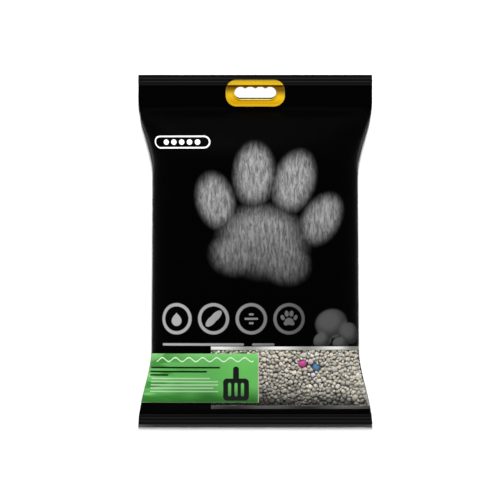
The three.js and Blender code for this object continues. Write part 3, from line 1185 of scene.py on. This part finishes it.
# The label
# A printed green film label stuck on after filling. It runs round the left side of the bag and laps
# onto the window, where its cut edge shows pale.
green_label, tree, output = new_material("green_label")
ink = Print(tree)
label_low, label_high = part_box("label")
label_bottom, label_top = label_low.y / MM, label_high.y / MM
label_right = label_high.x / MM
wave = clouds(tree, ink.position, 0.022, 1.0)
middle_green = over(
    tree, paint(tree, (0.122, 0.475, 0.104)), ramp(tree, ink.across, -60, -20), (0.158, 0.580, 0.128)
)
waved = calculate(tree, "MULTIPLY_ADD", wave, 26.0, ink.along)
shade_up = ramp(tree, waved, label_bottom + 14, label_bottom + 34, 1.0, 0.0)
green = over(tree, middle_green, shade_up, (0.026, 0.180, 0.020))
light_up = ramp(tree, ink.along, label_top - 9, label_top, 0.0, 0.5)
green = over(tree, green, light_up, (0.24, 0.58, 0.20))

# Painted shade and painted highlights in slanting streaks, as on creases, where the label nears the
# folded side, and a painted highlight along its lower edge
slanted = stretched(tree, ink.position, (0.018, 0.09, 1), math.radians(-38))
streak = clouds(tree, slanted, 1.0, 1.0)
near_fold = ramp(tree, ink.across, -62, -122)
crease_shade_streak = calculate(tree, "MULTIPLY", ramp(tree, streak, 0.50, 0.40, 0.0, 0.75), near_fold)
green = over(tree, green, crease_shade_streak, (0.030, 0.205, 0.024))
crease_highlight_streak = calculate(tree, "MULTIPLY", ramp(tree, streak, 0.56, 0.66, 0.0, 0.6), near_fold)
green = over(tree, green, crease_highlight_streak, (0.33, 0.66, 0.26))
lower_edge_highlight = ramp(tree, ink.along, label_bottom + 1.5, label_bottom + 0.5, 0.0, 0.55)
green = over(tree, green, lower_edge_highlight, (0.30, 0.62, 0.25))

# A white ripple line across the top, and thin pale lines below
ripple_row = label_top - 7.5
ripple_height = 2.4
ripple = calculate(tree, "SINE", calculate(tree, "MULTIPLY", ink.across, 0.36))
above_row = calculate(tree, "SUBTRACT", ink.along, ripple_row)
above_ripple = calculate(tree, "MULTIPLY_ADD", ripple, -ripple_height, above_row)
ripple_line = ramp(tree, calculate(tree, "ABSOLUTE", above_ripple), 0.5, 1.1, 1.0, 0.0)
ripple_reach = ink.bar((-64, ripple_row), (62, 4.5), 1.5)
thin_row = label_top - 31
thin_step = 4.1
thin_left = -132
thin_lines = [
    ink.bar((thin_left + reach, thin_row - thin_step * i), (reach, 0.75), 0.75)
    for i, reach in enumerate((38, 43, 43, 40, 43))
]
white_mask = calculate(
    tree,
    "MAXIMUM",
    calculate(tree, "MULTIPLY", ripple_line, ripple_reach),
    calculate(tree, "MULTIPLY", ink.any_of(thin_lines), 0.6),
)
green = over(tree, green, white_mask, (0.74, 0.86, 0.70))

# Black lines above them, and a litter scoop at the right
black_lines = [
    ink.bar((-90, label_top - 17.5), (46, 1.1), 1.1),
    ink.bar((-98, label_top - 22.6), (38, 1.1), 1.1),
    ink.bar((-122, label_top - 26.8), (13, 1.1), 1.1),
]
scoop_x, scoop_y = -24, label_top - 40
scoop_bowl = ink.bar((scoop_x, scoop_y - 5), (16, 14), 5, edge=0.2)
slots = ink.any_of(
    [ink.bar((scoop_x + 8 * i, scoop_y - 5), (1.9, 8.5), 1.9, edge=0.2) for i in (-1, 0, 1)]
)
scoop = ink.any_of(
    [ink.less(scoop_bowl, slots), ink.bar((scoop_x, scoop_y + 15), (3.6, 9), 3.4, edge=0.2)]
)
green = over(tree, green, ink.any_of([*black_lines, scoop]), (0.004, 0.006, 0.004))
cut_edge = ramp(tree, ink.across, label_right - 1.6, label_right - 0.9)
green = over(tree, green, cut_edge, (0.62, 0.60, 0.45))
label_creases = creases(tree, 0.9, 0.9)
lay_finish(
    tree,
    output,
    label_creases,
    0.4,
    1.2 * MM,
    **{
        "Base Color": green,
        "Roughness": ramp(tree, label_creases, 0.2, 0.8, 0.34, 0.46),
        "Specular IOR Level": 0.12,
    },
)

label_wrap = 9 * MM
label_thickness = 0.2 * MM
label_gap = 0.1 * MM
label_planes = patch_planes(label_low.y, label_high.y, label_wrap, right=label_high.x)
label_mesh = patch(film_surface, label_planes)
for vertex in label_mesh.verts:
    vertex.co += vertex.normal * label_gap
label = new_object("printed_label", label_mesh, green_label)
thicken(label, label_thickness, offset=1)
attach(label, "root")
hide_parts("label")


# The handle
# Two plates moulded in yellow polypropylene, snapped together through the flap. The front one has a
# raised grip bar with grooves, a rim, a dished face and a lip round the finger slot.
front_plate = 3.2 * MM
grip_rise = 2.2 * MM
grip_height = 7.2 * MM
bar_bottom = handle_y + handle_height / 2 - grip_height
bar_round = 0.9 * MM
rim_width = 1.1 * MM
dish_depth = 1.2 * MM
dish_slope = 1.2
edge_round = 0.5 * MM
groove_count = 3
groove_width = 0.7 * MM
groove_depth = 0.45 * MM
groove_slope = 0.12 * MM
back_plate = 2.2 * MM
back_dish = 0.5 * MM

handle_plastic, tree, output = new_material("handle_plastic")
where = tree.nodes.new("ShaderNodeTexCoord").outputs["Object"]
flow = clouds(tree, stretched(tree, where, (22, 75, 22)), 1.0, 2.0)
tint = add_node(tree, "ShaderNodeValToRGB", {"Fac": flow})
darker, lighter = tint.color_ramp.elements
darker.position, lighter.position = 0.3, 0.7
darker.color = (0.54, 0.335, 0.008, 1)
lighter.color = (0.62, 0.40, 0.008, 1)
parts = add_node(tree, "ShaderNodeSeparateXYZ", {"Vector": where})
across, along, up = parts.outputs["X"], parts.outputs["Y"], parts.outputs["Z"]

# Painted shade darkens the plastic at its foot and along its top edge, a painted shadow lies on the
# plate under the bar, and painted shade rounds off the bar's lower edge
past_bar = calculate(tree, "SUBTRACT", bar_bottom, along)
below_bar = calculate(tree, "MULTIPLY_ADD", across, -0.04, past_bar)
# Painted shade at the foot of the plate
yellow = over(
    tree, tint.outputs["Color"], ramp(tree, below_bar, 14 * MM, 22 * MM), (0.46, 0.25, 0.0005)
)
top_shade = ramp(tree, along, handle_high.y - 3.2 * MM, handle_high.y - 0.2 * MM)
yellow = over(tree, yellow, top_shade, (0.30, 0.185, 0.02))
plate_top = handle_low.z + front_plate
on_plate = ramp(tree, up, plate_top + 0.4 * MM, plate_top + 0.1 * MM)
# A painted shadow on the plate under the grip bar
shadow_under_bar = calculate(tree, "MULTIPLY", ramp(tree, below_bar, 13.5 * MM, 3.5 * MM), on_plate)
yellow = over(tree, yellow, shadow_under_bar, (0.135, 0.066, 0.0004))
# Painted shade on the rounded lower edge of the grip bar
on_bar_top = ramp(tree, up, handle_high.z - 1.3 * MM, handle_high.z - 1.0 * MM)
bar_foot_shade = calculate(tree, "MULTIPLY", ramp(tree, past_bar, -1.1 * MM, -0.6 * MM), on_bar_top)
yellow = over(tree, yellow, bar_foot_shade, (0.16, 0.085, 0.001))

# A painted highlight runs along the lip at the slot's lower edge
lip_y = handle_y + slot_rise - slot_height / 2
lip_below = ramp(tree, along, lip_y - 1.5 * MM, lip_y - 1.1 * MM)
lip_above = ramp(tree, along, lip_y + 0.4 * MM, lip_y + 0.1 * MM)
lip_ends = ramp(tree, calculate(tree, "ABSOLUTE", across), 20 * MM, 17 * MM)
lip_highlight = calculate(tree, "MULTIPLY", calculate(tree, "MULTIPLY", lip_below, lip_above), lip_ends)
yellow = over(tree, yellow, lip_highlight, (0.72, 0.56, 0.17))
texture = clouds(tree, where, 900.0, 2.0)
lay_finish(
    tree,
    output,
    texture,
    0.12,
    0.3 * MM,
    **{
        "Base Color": yellow,
        "Roughness": calculate(tree, "MULTIPLY_ADD", texture, 0.10, 0.18),
        "Specular IOR Level": 0.3,
    },
)


def sharp_edges(mesh, angle=35):
    steep = math.radians(angle)
    joined = [edge for edge in mesh.edges if len(edge.link_faces) == 2]
    return [edge for edge in joined if edge.calc_face_angle() > steep]


def round_edges(mesh, edges, radius, steps):
    bmesh.ops.bevel(
        mesh,
        geom=edges,
        offset=radius,
        segments=steps,
        profile=0.5,
        affect="EDGES",
        material=-1,
        clamp_overlap=True,
    )


def sink(mesh, faces, depth):
    points = list({point for face in faces for point in face.verts})
    bmesh.ops.translate(mesh, vec=(0, 0, -depth), verts=points)


def plate(bottom, thickness, dish):
    """A ring-shaped plate with the finger slot in it, dished between a rim and a lip."""
    made = bmesh.new()
    rings = plate_loop(made, 0, bottom) + slot_loop(made, 0, bottom)
    bmesh.ops.bridge_loops(made, edges=rings)
    bmesh.ops.recalc_face_normals(made, faces=made.faces[:])
    top = raise_faces(made, made.faces[:], thickness)
    for width in (rim_width, dish_slope * dish):
        bmesh.ops.inset_region(
            made, faces=top, thickness=width, use_boundary=True, use_even_offset=True
        )
    sink(made, top, dish)
    bmesh.ops.recalc_face_normals(made, faces=made.faces[:])
    round_edges(made, sharp_edges(made), edge_round, 2)
    return made


def at_bar_top(height):
    return abs(height - handle_high.z) < hair


# The grip bar is the top of the plate's outline, raised and cut across by shallow grooves
bar = bmesh.new()
bmesh.ops.contextual_create(bar, geom=plate_loop(bar, 0, handle_low.z + front_plate / 2))
bmesh.ops.bisect_plane(
    bar,
    geom=bar.verts[:] + bar.edges[:] + bar.faces[:],
    plane_co=(0, bar_bottom, 0),
    plane_no=(0, 1, 0),
    clear_inner=True,
)
raise_faces(bar, bar.faces[:], front_plate / 2 + grip_rise)
for i in range(1, groove_count + 1):
    groove_y = bar_bottom + grip_height * i / (groove_count + 1)
    for side_y in (groove_y - groove_width / 2, groove_y + groove_width / 2):
        tops = [
            face
            for face in bar.faces
            if face.normal.z > 0.9 or at_bar_top(face.calc_center_median().z)
        ]
        bmesh.ops.bisect_plane(
            bar, geom=with_edges(tops), plane_co=(0, side_y, 0), plane_no=(0, 1, 0), dist=hair / 10
        )
    bar.normal_update()
    groove = []
    for face in bar.faces:
        middle = face.calc_center_median()
        if at_bar_top(middle.z) and abs(middle.y - groove_y) < groove_width / 4:
            groove.append(face)
    bmesh.ops.inset_region(bar, faces=groove, thickness=groove_slope, use_boundary=True)
    sink(bar, groove, groove_depth)
bmesh.ops.recalc_face_normals(bar, faces=bar.faces[:])
rim_edges = [
    edge
    for edge in sharp_edges(bar, 60)
    if all(at_bar_top(point.co.z) for point in edge.verts)
    and any(abs(face.normal.z) < 0.5 for face in edge.link_faces)
    and not any(face.calc_area() < hair / 1000 for face in edge.link_faces)
]
round_edges(bar, rim_edges, bar_round, 4)
bar_mesh = bpy.data.meshes.new("grip_bar")
bar.to_mesh(bar_mesh)
bar.free()
front = plate(handle_low.z, front_plate, dish_depth)
front.from_mesh(bar_mesh)
bpy.data.meshes.remove(bar_mesh)
front_handle = new_object("front_plate", front, handle_plastic, smooth=False)
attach(front_handle, "root")
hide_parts("handle_front")

# The back plate is the same ring, thinner and turned over
back = plate(back_low.z, back_plate, back_dish)
bmesh.ops.rotate(
    back,
    cent=(0, handle_y, back_low.z + back_plate / 2),
    matrix=Matrix.Rotation(math.pi, 3, "Y"),
    verts=back.verts[:],
)
back_handle = new_object("back_plate", back, handle_plastic, smooth=False)
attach(back_handle, "root")
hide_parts("handle_back")
